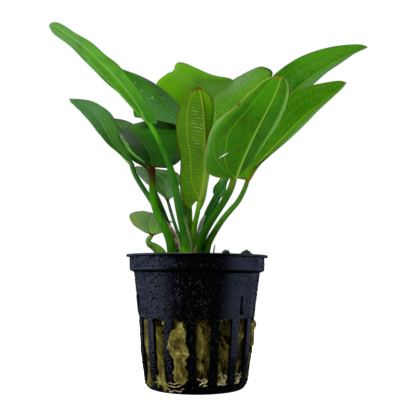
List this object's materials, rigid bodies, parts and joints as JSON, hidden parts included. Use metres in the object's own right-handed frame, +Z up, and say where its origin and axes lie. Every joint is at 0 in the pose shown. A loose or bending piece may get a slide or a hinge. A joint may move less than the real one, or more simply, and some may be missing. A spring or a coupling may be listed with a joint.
{
  "type": "potted aquarium plant",
  "caption": "Broad-leaved aquarium sword plant rooted in rockwool in a tapered, slotted round net pot with a collar and rim.",
  "frame": {"origin": "centre of the pot's flat underside, where it stands on the ground", "axes": "+Z up along the pot's axis, -Y towards the side with the front leaves, +X to the right seen from that side"},
  "size_m": [0.1301, 0.099, 0.1463],
  "materials": {
    "net_pot": "satin",
    "rockwool": "matte",
    "crown": "matte",
    "leaf_left_tall": "satin",
    "leaf_left_rear": "satin",
    "leaf_left_low": "satin",
    "leaf_left_broad": "satin",
    "leaf_left_inner": "satin",
    "leaf_rear_broad": "satin",
    "leaf_front_upright": "satin",
    "leaf_front_right": "satin",
    "leaf_right_low": "satin",
    "leaf_right_tall": "satin",
    "leaf_left_small": "satin",
    "leaf_left_round": "satin",
    "leaf_right_young": "satin",
    "sheath_left": "matte",
    "sheath_middle": "matte",
    "dead_leaf_tip": "matte",
    "moss_clump_1": "matte",
    "moss_clump_2": "matte"
  },
  "bodies": {
    "root": {"net_pot": "net_pot", "rockwool": "rockwool", "crown": "crown", "leaf_left_tall": "leaf_left_tall", "leaf_left_rear": "leaf_left_rear", "leaf_left_low": "leaf_left_low", "leaf_left_broad": "leaf_left_broad", "leaf_left_inner": "leaf_left_inner", "leaf_rear_broad": "leaf_rear_broad", "leaf_front_upright": "leaf_front_upright", "leaf_front_right": "leaf_front_right", "leaf_right_low": "leaf_right_low", "leaf_right_tall": "leaf_right_tall", "leaf_left_small": "leaf_left_small", "leaf_left_round": "leaf_left_round", "leaf_right_young": "leaf_right_young", "sheath_left": "sheath_left", "sheath_middle": "sheath_middle", "dead_leaf_tip": "dead_leaf_tip", "moss_clump_1": "moss_clump_1", "moss_clump_2": "moss_clump_2"}
  },
  "joints": []
}
